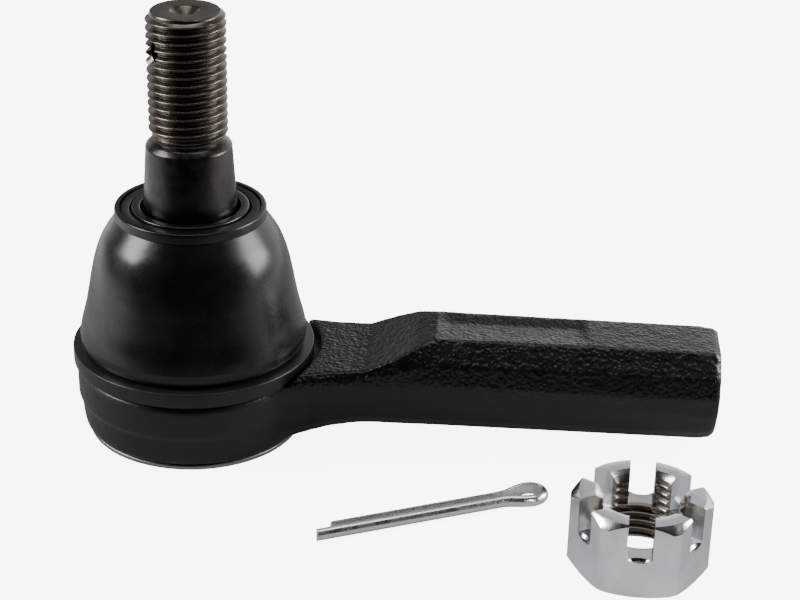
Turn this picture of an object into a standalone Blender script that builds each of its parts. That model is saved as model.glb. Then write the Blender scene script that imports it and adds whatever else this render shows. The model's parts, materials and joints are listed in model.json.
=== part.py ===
"""Steering tie rod end with its slotted nut and split pin.

Metres, +Z up.  The stud axis is the Z axis, the end cap stands on z = 0 and the
threaded shank points along +X.
"""
import math

import bmesh
import bpy

MM = 0.001

# forged socket, radii and heights about the stud axis
CUP_R = 21.3 * MM            # forged body
COLLAR_R = 21.9 * MM         # turned band under the boot
COLLAR_TOP = 16.5 * MM
COLLAR_LOW = 13.8 * MM
BOSS_R = 15.6 * MM           # turned boss the boot is pressed on
MOUTH_Z = 21.5 * MM
MOUTH_R = 10.4 * MM
BORE_R = 13.4 * MM
CUP_LOW = 1.2 * MM           # underside the cap flange closes
RELIEF_R = 23.2 * MM         # turned clearance round the collar
GROOVE_R = 20.7 * MM         # rough groove under the collar
SKIRT_TOP = 7.5 * MM         # the forged body steps in below this height
CORE_R = 17.0 * MM           # the shank's root stops here, inside the cup wall

# shank
SHANK_END = 95.3 * MM
PART_Z = 14.0 * MM           # forging parting plane
THREAD_AXIS_Z = 12.8 * MM
THREAD_BORE_R = 6.2 * MM     # M14 x 1.5 minor diameter 12.4
THREAD_DEPTH = 45.0 * MM
THREAD_MOUTH_R = 7.5 * MM    # lead-in chamfer

# ball stud
BALL_R = 11.0 * MM
BALL_Z = 16.0 * MM
BALL_CENTRE = (0.0, 0.0, BALL_Z)
NECK_R = 5.6 * MM
TAPER_LARGE_R = 8.5 * MM     # 1:8 taper
TAPER_LARGE_Z = 40.5 * MM
TAPER_SMALL_R = 7.6 * MM
TAPER_SMALL_Z = 54.6 * MM
THREAD_R = 6.95 * MM         # M14 x 1.5
THREAD_ROOT_R = 6.1 * MM
PITCH = 1.5 * MM
THREAD_LOW = 56.2 * MM
STUD_TOP = 78.9 * MM
PIN_HOLE_R = 1.75 * MM
PIN_HOLE_Z = 72.1 * MM
PIN_HOLE_AZIMUTH = math.radians(210.0)

GAP = 0.3 * MM               # between neighbouring pieces

# slotted nut
NUT_AF = 21.0 * MM
NUT_AC = 23.4 * MM           # across the rounded corners
NUT_FLAT_R = 10.4 * MM       # flat left by the chamfers at both ends
NUT_H = 13.5 * MM
SLOT_W = 4.2 * MM
SLOT_DEPTH = 6.3 * MM
NUT_BORE_R = 6.25 * MM
NUT_XY = (80.4 * MM, -40.9 * MM)
NUT_YAW = math.radians(-2.8)

# split pin, half-round wire folded with the flats inside
PIN_R = 1.15 * MM
PIN_SPLIT = 1.1 * MM         # the two legs stand apart by this much
PIN_LENGTH = 41.45 * MM      # long tip to the inside of the eye's far end
PIN_EYE_HALF = 1.9 * MM      # half the widest opening of the eye
PIN_SHORTER = 3.2 * MM
PIN_XY = (26.5 * MM, -39.2 * MM)
PIN_YAW = math.radians(24.1)

RING = 40                    # columns of the round pieces
STUD_RING = 24
BALL_RING = 32


def material(name, colour, metallic, roughness):
    m = bpy.data.materials.new(name)
    m.use_nodes = True
    b = m.node_tree.nodes["Principled BSDF"]
    b.inputs["Base Color"].default_value = (*colour, 1.0)
    b.inputs["Metallic"].default_value = metallic
    b.inputs["Roughness"].default_value = roughness
    return m


def new_object(name, verts, faces, mat, smooth=True):
    me = bpy.data.meshes.new(name)
    me.from_pydata(verts, [], faces)
    bm = bmesh.new()
    bm.from_mesh(me)
    bmesh.ops.remove_doubles(bm, verts=bm.verts, dist=1e-7)
    bmesh.ops.recalc_face_normals(bm, faces=bm.faces)
    for e in bm.edges:
        e.smooth = e.is_manifold and e.calc_face_angle(0.0) < math.radians(32)
    bm.to_mesh(me)
    bm.free()
    for p in me.polygons:
        p.use_smooth = smooth
    ob = bpy.data.objects.new(name, me)
    bpy.context.scene.collection.objects.link(ob)
    if mat:
        me.materials.append(mat)
    return ob


def turned(profile, columns, centre=(0.0, 0.0)):
    """Verts and faces of a closed (r, z) loop turned about a vertical axis."""
    verts = []
    rows = []
    for r, z in profile:
        if r < 1e-9:
            verts.append((centre[0], centre[1], z))
            rows.append([len(verts) - 1] * columns)
            continue
        row = []
        for j in range(columns):
            a = 2 * math.pi * j / columns
            verts.append((centre[0] + r * math.cos(a), centre[1] + r * math.sin(a), z))
            row.append(len(verts) - 1)
        rows.append(row)
    faces = []
    for i in range(len(rows)):
        lo = rows[i]
        hi = rows[(i + 1) % len(rows)]
        for j in range(columns):
            k = (j + 1) % columns
            corner = []
            for v in (lo[j], lo[k], hi[k], hi[j]):
                if v not in corner:
                    corner.append(v)
            if len(corner) > 2:
                faces.append(corner)
    return verts, faces


def turned_object(name, profile, mat, columns=RING, centre=(0.0, 0.0)):
    verts, faces = turned(profile, columns, centre)
    return new_object(name, verts, faces, mat)


def lofted(name, sections, mat):
    """Closed body through (x, [(y, z), ...]) sections."""
    verts = []
    faces = []
    n = len(sections[0][1])
    for x, pts in sections:
        for y, z in pts:
            verts.append((x, y, z))
    for i in range(len(sections) - 1):
        for j in range(n):
            k = (j + 1) % n
            faces.append([i * n + j, i * n + k, (i + 1) * n + k, (i + 1) * n + j])
    faces.append(list(range(n)))
    faces.append([(len(sections) - 1) * n + j for j in range(n)])
    return new_object(name, verts, faces, mat)


def boolean(target, other, operation):
    m = target.modifiers.new("cut", "BOOLEAN")
    m.operation = operation
    m.solver = "EXACT"
    m.object = other
    dg = bpy.context.evaluated_depsgraph_get()
    me = bpy.data.meshes.new_from_object(target.evaluated_get(dg))
    target.modifiers.clear()
    old = target.data
    target.data = me
    bpy.data.meshes.remove(old)
    bpy.data.objects.remove(other, do_unlink=True)
    return target


def tidy(ob, angle=32.0):
    bm = bmesh.new()
    bm.from_mesh(ob.data)
    bmesh.ops.remove_doubles(bm, verts=bm.verts, dist=2e-6)
    bmesh.ops.dissolve_degenerate(bm, dist=2e-6, edges=bm.edges)
    bmesh.ops.recalc_face_normals(bm, faces=bm.faces)
    for e in bm.edges:
        e.smooth = e.is_manifold and e.calc_face_angle(0.0) < math.radians(angle)
    for f in bm.faces:
        f.smooth = True
    bm.to_mesh(ob.data)
    bm.free()
    return ob


def set_origin(ob, point):
    """Move an object's origin to a point without moving its shape."""
    for v in ob.data.vertices:
        v.co.x -= point[0]
        v.co.y -= point[1]
        v.co.z -= point[2]
    ob.location = point


def arc(cx, cz, r, a0, a1, n):
    """Points on a circle in the (r, z) plane, angles in degrees from +r towards +z."""
    out = []
    for i in range(n + 1):
        a = math.radians(a0 + (a1 - a0) * i / n)
        out.append((cx + r * math.cos(a), cz + r * math.sin(a)))
    return out


def spline(points, n):
    """Catmull-Rom curve through the points, n steps between neighbours."""
    out = []
    for i in range(len(points) - 1):
        p0 = points[max(i - 1, 0)]
        p1 = points[i]
        p2 = points[i + 1]
        p3 = points[min(i + 2, len(points) - 1)]
        for s in range(n):
            t = s / n
            pt = []
            for k in range(2):
                m1 = (p2[k] - p0[k]) / 2
                m2 = (p3[k] - p1[k]) / 2
                h = (2 * t ** 3 - 3 * t ** 2 + 1) * p1[k] + (t ** 3 - 2 * t ** 2 + t) * m1
                pt.append(h + (3 * t ** 2 - 2 * t ** 3) * p2[k] + (t ** 3 - t ** 2) * m2)
            out.append(tuple(pt))
    out.append(points[-1])
    return out


def mm(points):
    return [(a * MM, b * MM) for a, b in points]


# ---------------------------------------------------------------- clean start
for old in list(bpy.data.objects):
    bpy.data.objects.remove(old, do_unlink=True)

PAINT = material("black_cast_paint", (0.020, 0.020, 0.021), 0.0, 0.42)
STUD_STEEL = material("phosphated_stud_steel", (0.10, 0.095, 0.09), 1.0, 0.38)
SEAT_TOP = material("bearing_resin_upper", (0.72, 0.70, 0.63), 0.0, 0.45)
SEAT_LOW = material("bearing_resin_lower", (0.66, 0.65, 0.60), 0.0, 0.48)
SPRING = material("spring_steel", (0.30, 0.29, 0.28), 1.0, 0.35)
CAP = material("bare_cap_steel", (0.52, 0.52, 0.50), 1.0, 0.38)
RUBBER = material("boot_rubber", (0.012, 0.012, 0.013), 0.0, 0.36)
RING_TOP = material("boot_top_ring_steel", (0.035, 0.034, 0.034), 0.6, 0.40)
RING_FOOT = material("boot_foot_ring_steel", (0.34, 0.34, 0.33), 1.0, 0.40)
ZINC_NUT = material("bright_zinc_nut", (0.72, 0.74, 0.76), 1.0, 0.24)
ZINC_PIN = material("bright_zinc_pin", (0.70, 0.72, 0.74), 1.0, 0.30)

# ---------------------------------------------------------------- housing
cup = [(MOUTH_R, MOUTH_Z), (BOSS_R - 0.6 * MM, MOUTH_Z), (BOSS_R, MOUTH_Z - 0.6 * MM)]
cup += [(BOSS_R, COLLAR_TOP), (COLLAR_R - 0.4 * MM, COLLAR_TOP), (COLLAR_R, COLLAR_TOP - 0.4 * MM)]
cup += [(COLLAR_R, COLLAR_LOW + 0.2 * MM), (COLLAR_R - 0.2 * MM, COLLAR_LOW)]
cup += [(GROOVE_R, COLLAR_LOW - 0.4 * MM), (GROOVE_R, COLLAR_LOW - 1.1 * MM), (CUP_R, COLLAR_LOW - 1.7 * MM)]
cup += [(CUP_R, SKIRT_TOP)] + mm([(20.8, 6.6), (20.5, 3.4), (20.2, 1.7)])
cup += [(19.7 * MM, CUP_LOW), (BORE_R, CUP_LOW), (BORE_R, 18.0 * MM), (MOUTH_R, 21.2 * MM)]
housing = turned_object("housing", cup, PAINT, 64)

# shank stations: x, top z, half width of top, parting and bottom faces, bottom z, trough depth
STATIONS = [
    (13.9, 15.6, 13.2, 14.8, 12.6, 1.9, 0.0),
    (16.0, 15.7, 12.5, 14.1, 11.4, 2.0, 0.0),
    (19.0, 15.8, 11.7, 12.9, 9.4, 2.3, 0.0),
    (22.0, 15.95, 10.9, 12.0, 7.9, 2.7, 0.0),
    (25.5, 16.15, 10.25, 11.3, 6.7, 3.25, 0.0),
    (29.5, 16.3, 9.9, 10.8, 6.0, 3.7, 0.0),
    (32.0, 16.5, 9.75, 10.5, 5.7, 3.85, 0.0),
    (34.6, 17.6, 9.65, 10.4, 5.5, 3.8, 0.0),
    (37.6, 18.9, 9.2, 10.2, 5.4, 3.75, 0.0),
    (41.0, 20.55, 7.6, 10.0, 5.3, 3.7, 0.0),
    (44.4, 21.65, 5.7, 9.8, 5.2, 3.7, 0.0),
    (46.2, 21.6, 5.7, 9.7, 5.2, 3.7, 0.5),
    (70.2, 21.5, 5.5, 9.6, 5.2, 3.75, 0.5),
    (71.8, 21.5, 5.4, 9.6, 5.2, 3.75, 0.0),
    (SHANK_END / MM - 1.1, 21.3, 5.4, 9.5, 5.2, 3.8, 0.0),
    (SHANK_END / MM, 20.7, 4.7, 9.0, 4.4, 4.7, 0.0),
]
sections = []
for x, zt, a, b, c, zb, d in STATIONS:
    zp = PART_Z / MM
    zm = zt - 0.5 * (zt - zp)
    ym = a + (b - a) * 0.80
    half = [(ym, zm), (b, zp), (b - 0.7, zp - 3.6), (c + (b - c) * 0.42, zb + 2.3), (c, zb)]
    pts = [(-a, zt), (0.4 * a, zt - d), (0.8 * a, zt - 0.15 * d), (a, zt)]
    pts += half + [(-y, z) for y, z in reversed(half)]
    sections.append((x * MM, mm(pts)))
shank = lofted("shank_form", sections, PAINT)
relief = [(0.0, 30 * MM), (0.0, COLLAR_LOW), (RELIEF_R, COLLAR_LOW), (RELIEF_R, 30 * MM)]
shank = boolean(shank, turned_object("relief", relief, None, 64), "DIFFERENCE")
core = [(0.0, 25 * MM), (0.0, -1 * MM), (CORE_R, -1 * MM), (CORE_R, 25 * MM)]
shank = boolean(shank, turned_object("core", core, None, 64), "DIFFERENCE")
housing = boolean(housing, shank, "UNION")

drill = [(0.0, 0.0), (THREAD_BORE_R, 3.0 * MM), (THREAD_BORE_R, THREAD_DEPTH)]
drill += [(THREAD_MOUTH_R, THREAD_DEPTH + 1.5 * MM), (THREAD_MOUTH_R, THREAD_DEPTH + 3 * MM)]
drill += [(0.0, THREAD_DEPTH + 3 * MM)]
verts, faces = turned(drill, 24)
start = SHANK_END - THREAD_DEPTH - 0.4 * MM
verts = [(start + z, y, THREAD_AXIS_Z + x) for x, y, z in verts]
housing = boolean(housing, new_object("drill", verts, faces, None), "DIFFERENCE")
housing.name = "housing"
tidy(housing)

# ---------------------------------------------------------------- end cap
cap = [(0.0, 0.0), (9.2 * MM, 0.0), (9.8 * MM, 0.45 * MM), (11.6 * MM, 0.45 * MM), (12.2 * MM, 0.0)]
cap += mm([(19.2, 0.0), (19.6, 0.35), (19.5, 0.9), (13.0, 0.9), (13.0, 2.1), (12.6, 2.4)])
cap += mm([(4.5, 2.4), (4.0, 2.0), (0.0, 2.0)])
turned_object("end_cap", cap, CAP, 48)

# ---------------------------------------------------------------- preload spring
spring = mm([(5.2, 4.15), (5.2, 3.45), (12.2, 2.75), (12.6, 2.9), (12.6, 3.45)])
turned_object("preload_disc_spring", spring, SPRING, 32)

# ---------------------------------------------------------------- bearing shells
SEAT_IN = BALL_R + GAP


def ball_arc(r, z0, z1, n):
    a0 = math.degrees(math.asin((z0 - BALL_Z) / r))
    a1 = math.degrees(math.asin((z1 - BALL_Z) / r))
    return arc(0.0, BALL_Z, r, a0, a1, n)


lower = mm([(13.05, 15.7), (13.05, 5.0), (12.5, 4.5), (6.3, 4.5)])
lower += [(6.3 * MM, BALL_Z - math.sqrt(SEAT_IN ** 2 - (6.3 * MM) ** 2))]
lower += ball_arc(SEAT_IN, BALL_Z - 8.2 * MM, 15.7 * MM, 7)
turned_object("lower_ball_seat", lower, SEAT_LOW, BALL_RING)

upper = mm([(13.05, 16.05), (13.05, 17.85), (11.2, 19.85)])
upper += ball_arc(SEAT_IN, 19.85 * MM, 16.05 * MM, 5)
turned_object("upper_ball_seat", upper, SEAT_TOP, BALL_RING)

# ---------------------------------------------------------------- ball stud
FLAT_DROP = 9.5 * MM
flat_r = math.sqrt(BALL_R ** 2 - FLAT_DROP ** 2)
neck_rise = math.sqrt(BALL_R ** 2 - NECK_R ** 2)
stud = [(0.0, BALL_Z - FLAT_DROP), (flat_r, BALL_Z - FLAT_DROP)]
stud += ball_arc(BALL_R, BALL_Z - 8.4 * MM, BALL_Z + neck_rise, 12)
stud += mm([(5.65, 27.5), (6.1, 30.5), (6.9, 33.8), (7.8, 36.8), (8.4, 39.2)])
stud += [(TAPER_LARGE_R, TAPER_LARGE_Z), (TAPER_SMALL_R, TAPER_SMALL_Z)]
stud += mm([(6.7, 55.5)]) + [(THREAD_ROOT_R, THREAD_LOW - 0.2 * MM), (THREAD_ROOT_R, THREAD_LOW)]
THREAD_TOP = STUD_TOP - 0.15 * MM
top = [(THREAD_ROOT_R, THREAD_TOP), (THREAD_ROOT_R - 0.15 * MM, STUD_TOP), (2.6 * MM, STUD_TOP)]
top += [(0.0, STUD_TOP - 1.7 * MM)]


def stud_mesh():
    n = STUD_RING
    verts = []
    rings = []
    for r, z in stud + top:
        ring = []
        for j in range(n):
            a = 2 * math.pi * j / n
            verts.append((r * math.cos(a), r * math.sin(a), z))
            ring.append(len(verts) - 1)
        rings.append(ring)
    faces = []

    def join(lo, hi):
        for j in range(n):
            faces.append([lo[j], lo[(j + 1) % n], hi[(j + 1) % n], hi[j]])

    k = len(stud)
    for i in range(k - 1):
        join(rings[i], rings[i + 1])
    for i in range(k, len(rings) - 1):
        join(rings[i], rings[i + 1])
    # helical rows: root, root, crest, crest for each pitch
    z0 = THREAD_LOW
    z1 = THREAD_TOP
    shape = [(0.0, 0.0), (0.25, 0.0), (0.5625, 1.0), (0.6875, 1.0)]
    turns = int(math.ceil((z1 - z0) / PITCH)) + 2
    grid = []
    for i in range(turns * 4 + 1):
        phase, rise = shape[i % 4]
        row = []
        for j in range(n + 1):
            z = z0 + PITCH * (i // 4 - 1 + phase + j / n)
            z = min(max(z, z0), z1)
            ramp = min((z - z0) / (0.9 * PITCH), (z1 - z) / (0.5 * PITCH), 1.0)
            r = THREAD_ROOT_R + (THREAD_R - THREAD_ROOT_R) * rise * ramp
            a = 2 * math.pi * j / n
            verts.append((r * math.cos(a), r * math.sin(a), z))
            row.append(len(verts) - 1)
        grid.append(row)
    for i in range(len(grid) - 1):
        for j in range(n):
            faces.append([grid[i][j], grid[i][j + 1], grid[i + 1][j + 1], grid[i + 1][j]])
    return verts, faces


def clean_faces(verts, faces):
    """Merge equal points and drop faces that fold to nothing."""
    key = {}
    index = []
    out = []
    for v in verts:
        k = tuple(round(c * 1e8) for c in v)
        if k not in key:
            key[k] = len(out)
            out.append(v)
        index.append(key[k])
    kept = []
    for f in faces:
        g = []
        for v in f:
            if index[v] not in g:
                g.append(index[v])
        if len(g) > 2:
            kept.append(g)
    return out, kept


verts, faces = stud_mesh()
verts, faces = clean_faces(verts, faces)
ball_stud = new_object("ball_stud", verts, faces, STUD_STEEL)

mouth_r = PIN_HOLE_R + 2 * MM
hole = [(0.0, -12 * MM), (mouth_r, -12 * MM), (mouth_r, -7.9 * MM)]
hole += [(PIN_HOLE_R, -5.9 * MM), (PIN_HOLE_R, 5.9 * MM), (mouth_r, 7.9 * MM)]
hole += [(mouth_r, 12 * MM), (0.0, 12 * MM)]
verts, faces = turned(hole, 16)
ca = math.cos(PIN_HOLE_AZIMUTH)
sa = math.sin(PIN_HOLE_AZIMUTH)
verts = [(z * ca - x * sa, z * sa + x * ca, PIN_HOLE_Z + y) for x, y, z in verts]
ball_stud = boolean(ball_stud, new_object("hole", verts, faces, None), "DIFFERENCE")
ball_stud.name = "ball_stud"
tidy(ball_stud)
set_origin(ball_stud, BALL_CENTRE)

# ---------------------------------------------------------------- dust boot
outer = spline(mm([(13.35, 41.2), (14.5, 39.6), (15.9, 37.4), (17.1, 34.4), (17.95, 31.0),
                   (18.6, 27.6), (19.3, 24.2), (20.1, 21.2), (20.5, 19.2)]), 2)
inner = spline(mm([(17.0, 20.9), (17.4, 23.6), (16.9, 27.2), (16.3, 30.8), (15.4, 34.0),
                   (14.0, 36.8), (12.2, 38.9), (10.2, 39.9)]), 1)
boot = mm([(12.65, 43.1), (13.2, 43.1), (13.5, 42.8)]) + outer + mm([(20.35, 17.4), (19.9, 16.8)])
boot += mm([(16.85, 16.8)]) + inner
boot += mm([(8.85, 40.4), (8.85, 42.8), (9.15, 43.1), (10.15, 43.1), (10.45, 42.8), (10.45, 41.4)])
boot += mm([(12.45, 41.4), (12.45, 42.9)])
dust_boot = turned_object("dust_boot", boot, RUBBER, RING)
set_origin(dust_boot, BALL_CENTRE)

foot = mm([(15.9, 16.8), (16.55, 16.8), (16.55, 20.6), (16.25, 20.9), (15.9, 20.6)])
turned_object("boot_foot_press_ring", foot, RING_FOOT, RING)
lip = mm([(10.75, 41.7), (12.15, 41.7), (12.15, 42.6), (11.95, 42.8), (10.95, 42.8), (10.75, 42.6)])
boot_top_ring = turned_object("boot_top_ring", lip, RING_TOP, RING)
set_origin(boot_top_ring, BALL_CENTRE)

# ---------------------------------------------------------------- slotted nut
hex_r = NUT_AF / math.sqrt(3)


def prism(name, radius, z0, z1, sides, spin):
    verts = []
    for z in (z0, z1):
        for k in range(sides):
            a = spin + 2 * math.pi * k / sides
            verts.append((radius * math.cos(a), radius * math.sin(a), z))
    faces = [list(range(sides)), list(range(sides, 2 * sides))]
    for k in range(sides):
        m = (k + 1) % sides
        faces.append([k, m, sides + m, sides + k])
    return new_object(name, verts, faces, None, smooth=False)


nut = prism("castle_nut", hex_r, 0.0, NUT_H, 6, 0.0)
reach = NUT_AC / 2 - NUT_FLAT_R
cone = [(0.0, 0.0), (NUT_FLAT_R, 0.0), (NUT_AC / 2, reach * 0.45), (NUT_AC / 2, NUT_H - reach)]
cone += [(NUT_FLAT_R, NUT_H), (0.0, NUT_H)]
nut = boolean(nut, turned_object("cone", cone, None, 48), "INTERSECT")
bore = [(0.0, -1 * MM), (7.5 * MM, -1 * MM), (7.5 * MM, 0.0), (NUT_BORE_R, 0.75 * MM)]
bore += [(NUT_BORE_R, NUT_H - 0.75 * MM), (7.5 * MM, NUT_H), (7.5 * MM, NUT_H + MM), (0.0, NUT_H + MM)]
nut = boolean(nut, turned_object("bore", bore, None, 32), "DIFFERENCE")
for k in range(3):
    a = math.radians(30 + 60 * k)
    x = 16 * MM
    y = SLOT_W / 2
    floor_z = NUT_H - SLOT_DEPTH
    pts = []
    for px, py in ((-x, -y), (x, -y), (x, y), (-x, y)):
        pts.append((px * math.cos(a) - py * math.sin(a), px * math.sin(a) + py * math.cos(a)))
    verts = [(px, py, z) for z in (floor_z, NUT_H + 2 * MM) for px, py in pts]
    faces = [[0, 1, 2, 3], [4, 5, 6, 7], [0, 1, 5, 4], [1, 2, 6, 5], [2, 3, 7, 6], [3, 0, 4, 7]]
    nut = boolean(nut, new_object("slot", verts, faces, None, smooth=False), "DIFFERENCE")
nut.name = "castle_nut"
nut.data.materials.clear()
nut.data.materials.append(ZINC_NUT)
tidy(nut, 25.0)
nut.location = (NUT_XY[0], NUT_XY[1], 0.0)
nut.rotation_euler = (0.0, 0.0, NUT_YAW)


# ---------------------------------------------------------------- split pin
def pin_path():
    """Plan centre line from the long tip along +X, round the eye and back."""
    side = PIN_SPLIT / 2
    half = PIN_EYE_HALF
    eye = [(-8.0 * MM, side), (-6.6 * MM, 0.38 * half), (-5.2 * MM, 0.60 * half), (-3.4 * MM, 0.91 * half)]
    eye += [(-2.1 * MM, half), (-1.0 * MM, 0.84 * half), (-0.28 * MM, 0.47 * half)]
    front = [(PIN_LENGTH + x, -y) for x, y in eye]
    back = [(x, -y) for x, y in reversed(front)]
    middle = PIN_LENGTH * 0.4
    path = [(0.0, -side), (middle, -side)] + front + [(PIN_LENGTH, 0.0)] + back
    return path + [(middle, side), (PIN_SHORTER, side)]


def pin_object():
    path = pin_path()
    count = 9
    verts = []
    faces = []
    for i, (x, y) in enumerate(path):
        before = path[max(i - 1, 0)]
        after = path[min(i + 1, len(path) - 1)]
        dx = after[0] - before[0]
        dy = after[1] - before[1]
        d = math.hypot(dx, dy)
        # the round side of the wire is to the right of travel
        for k in range(count):
            g = math.pi * k / (count - 1)
            off = PIN_R * math.sin(g)
            verts.append((x + off * dy / d, y - off * dx / d, PIN_R - PIN_R * math.cos(g)))
    rows = len(path)
    for i in range(rows - 1):
        for k in range(count):
            m = (k + 1) % count
            faces.append([i * count + k, i * count + m, (i + 1) * count + m, (i + 1) * count + k])
    faces.append(list(range(count)))
    faces.append([(rows - 1) * count + k for k in range(count)])
    pin = new_object("cotter_pin", verts, faces, ZINC_PIN)
    pin.location = (PIN_XY[0], PIN_XY[1], 0.0)
    pin.rotation_euler = (0.0, 0.0, PIN_YAW)


pin_object()
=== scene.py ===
import json
import math

import bmesh
import bpy
from mathutils import Matrix, Vector, noise


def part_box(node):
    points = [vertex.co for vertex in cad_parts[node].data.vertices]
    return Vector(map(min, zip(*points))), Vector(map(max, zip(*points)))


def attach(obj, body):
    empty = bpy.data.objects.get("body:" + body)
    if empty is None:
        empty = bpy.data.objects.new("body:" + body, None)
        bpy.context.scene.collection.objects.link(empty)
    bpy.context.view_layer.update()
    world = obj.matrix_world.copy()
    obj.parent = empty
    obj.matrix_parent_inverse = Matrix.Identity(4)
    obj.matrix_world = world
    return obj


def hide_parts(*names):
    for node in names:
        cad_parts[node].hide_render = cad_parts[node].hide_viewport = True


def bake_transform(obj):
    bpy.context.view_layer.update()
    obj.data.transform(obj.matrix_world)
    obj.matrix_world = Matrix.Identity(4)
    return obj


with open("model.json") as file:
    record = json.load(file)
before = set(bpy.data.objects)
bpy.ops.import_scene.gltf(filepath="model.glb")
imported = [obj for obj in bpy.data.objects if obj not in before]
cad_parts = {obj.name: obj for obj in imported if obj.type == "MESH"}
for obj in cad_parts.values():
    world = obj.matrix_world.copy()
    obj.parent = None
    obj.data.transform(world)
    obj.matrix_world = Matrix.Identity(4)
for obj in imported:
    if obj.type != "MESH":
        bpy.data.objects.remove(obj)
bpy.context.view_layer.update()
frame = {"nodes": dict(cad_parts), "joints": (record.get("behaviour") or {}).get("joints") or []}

MM = 0.001

# ------------------------------------------------------------------ places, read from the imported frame
JOINTS = {j["name"]: j for j in frame["joints"]}
BALL = Vector(JOINTS["stud_swing_across"]["pos_m"])
HOUSING_LOW, HOUSING_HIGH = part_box("housing")
STUD_LOW, STUD_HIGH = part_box("ball_stud")
NUT_LOW, NUT_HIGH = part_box("castle_nut")
PIN_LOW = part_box("cotter_pin")[0]

# ------------------------------------------------------------------ sizes
# forging: cup, collar and boss about the stud's axis, then the shank along X
CUP_LOW = HOUSING_LOW.z
CUP_R = 21.3 * MM
COLLAR_R = 21.9 * MM
COLLAR_LOW = 13.8 * MM
COLLAR_TOP = 16.5 * MM
GROOVE_R = 20.7 * MM         # shallow groove under the collar
GROOVE_LOW = 12.6 * MM
GROOVE_TOP = 13.5 * MM
RELIEF_R = 23.2 * MM         # turned clearance round the collar
BOSS_R = 15.6 * MM
BORE_R = 13.4 * MM
MOUTH_R = 10.4 * MM
MOUTH_Z = 21.5 * MM
SHANK_END = HOUSING_HIGH.x
SHANK_BORE_Z = 12.8 * MM
SHANK_BORE_DEPTH = 45.0 * MM
PART_Z = 14.0 * MM           # parting line of the forging dies
VOXEL = 0.30 * MM            # grid of the softened skin
LUMP = 0.05 * MM             # height of the forged lumps
# threads, M14 x 1.5
PITCH = 1.5 * MM
MALE_R = 6.95 * MM
MALE_ROOT_R = 6.08 * MM
FEMALE_R = 7.0 * MM
FEMALE_ROOT_R = 6.25 * MM
# one pitch of a thread: share of the pitch, share of the height
THREAD_SHAPE = [(0.0, 0.0), (0.10, 0.0), (0.18, 0.06), (0.30, 0.28), (0.50, 0.84), (0.565, 0.97),
                (0.62, 1.0), (0.68, 0.97), (0.745, 0.84), (0.93, 0.14)]
# ball stud
BALL_R = 11.0 * MM
NECK_R = 5.6 * MM
THREAD_LOW = 56.2 * MM
STUD_TOP = STUD_HIGH.z
PIN_HOLE_R = 1.75 * MM
PIN_HOLE_Z = STUD_TOP - 6.8 * MM
PIN_HOLE_AZIMUTH = math.radians(210.0)
# boot
BOOT_SEAM_Z = 30.0 * MM      # level of the ring where its two halves meet
BOOT_FOOT_Z = 18.5 * MM      # height listed for the lower half; nothing here bends the boot
BOOT_HEAD_Z = 40.0 * MM      # height listed for the upper half; nothing here makes it follow the top ring
# castle nut
NUT_AF = 21.0 * MM           # across flats
NUT_AC = 23.4 * MM           # across the rounded corners
NUT_FLAT_R = 10.4 * MM       # flat ring left by the end chamfers
NUT_YAW = math.radians(-2.8)
SLOT_W = 4.2 * MM
SLOT_DEPTH = 6.3 * MM
# split pin
PIN_R = 1.15 * MM
PIN_SPLIT = 1.1 * MM         # its legs stand apart by this much
PIN_EYE_END = 41.45 * MM     # long tip to the inside of the eye's far end
PIN_SHORTER = 3.2 * MM
PIN_YAW = math.radians(24.1)
# cutters reach this far past the body
TALL = 40 * MM

FINE = 160    # columns of a turned surface


# ------------------------------------------------------------------ mesh helpers
def new_object(name, verts, faces, smooth_angle=35.0):
    me = bpy.data.meshes.new(name)
    me.from_pydata(verts, [], faces)
    ob = bpy.data.objects.new(name, me)
    bpy.context.scene.collection.objects.link(ob)
    clean(ob, 1e-7)
    shade(ob, smooth_angle)
    return ob


def clean(ob, distance):
    bm = bmesh.new()
    bm.from_mesh(ob.data)
    bmesh.ops.remove_doubles(bm, verts=bm.verts, dist=distance)
    bmesh.ops.dissolve_degenerate(bm, dist=distance, edges=bm.edges)
    bmesh.ops.recalc_face_normals(bm, faces=bm.faces)
    if bm.calc_volume(signed=True) < 0.0:
        bmesh.ops.reverse_faces(bm, faces=bm.faces)
    bm.to_mesh(ob.data)
    bm.free()


def shade(ob, angle):
    ob.data.shade_smooth()
    ob.data.set_sharp_from_angle(angle=math.radians(angle))


def mm(points):
    return [(a * MM, b * MM) for a, b in points]


def curve(points, steps):
    """Catmull-Rom curve through (a, b) points."""
    out = []
    for i in range(len(points) - 1):
        p = [points[max(i - 1, 0)], points[i], points[i + 1], points[min(i + 2, len(points) - 1)]]
        for s in range(steps):
            t = s / steps
            pt = []
            for k in range(2):
                m1 = (p[2][k] - p[0][k]) / 2
                m2 = (p[3][k] - p[1][k]) / 2
                value = (2 * t ** 3 - 3 * t ** 2 + 1) * p[1][k] + (t ** 3 - 2 * t ** 2 + t) * m1
                pt.append(value + (3 * t ** 2 - 2 * t ** 3) * p[2][k] + (t ** 3 - t ** 2) * m2)
            out.append(tuple(pt))
    out.append(points[-1])
    return out


def rounded(points, radius, steps=4, closed=True):
    """Outline with each corner eased by the radius, or by less where a side is short."""
    out = []
    n = len(points)
    for i in range(n):
        p = Vector(points[i])
        if not closed and i in (0, n - 1):
            out.append(tuple(p))
            continue
        a = Vector(points[i - 1]) - p
        b = Vector(points[(i + 1) % n]) - p
        if a.length < 1e-9 or b.length < 1e-9:
            out.append(tuple(p))
            continue
        reach = min(radius, a.length * 0.45, b.length * 0.45)
        start = p + a.normalized() * reach
        end = p + b.normalized() * reach
        for s in range(steps + 1):
            t = s / steps
            q = start * (1 - t) ** 2 + p * 2 * t * (1 - t) + end * t ** 2
            out.append(tuple(q))
    return out


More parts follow.
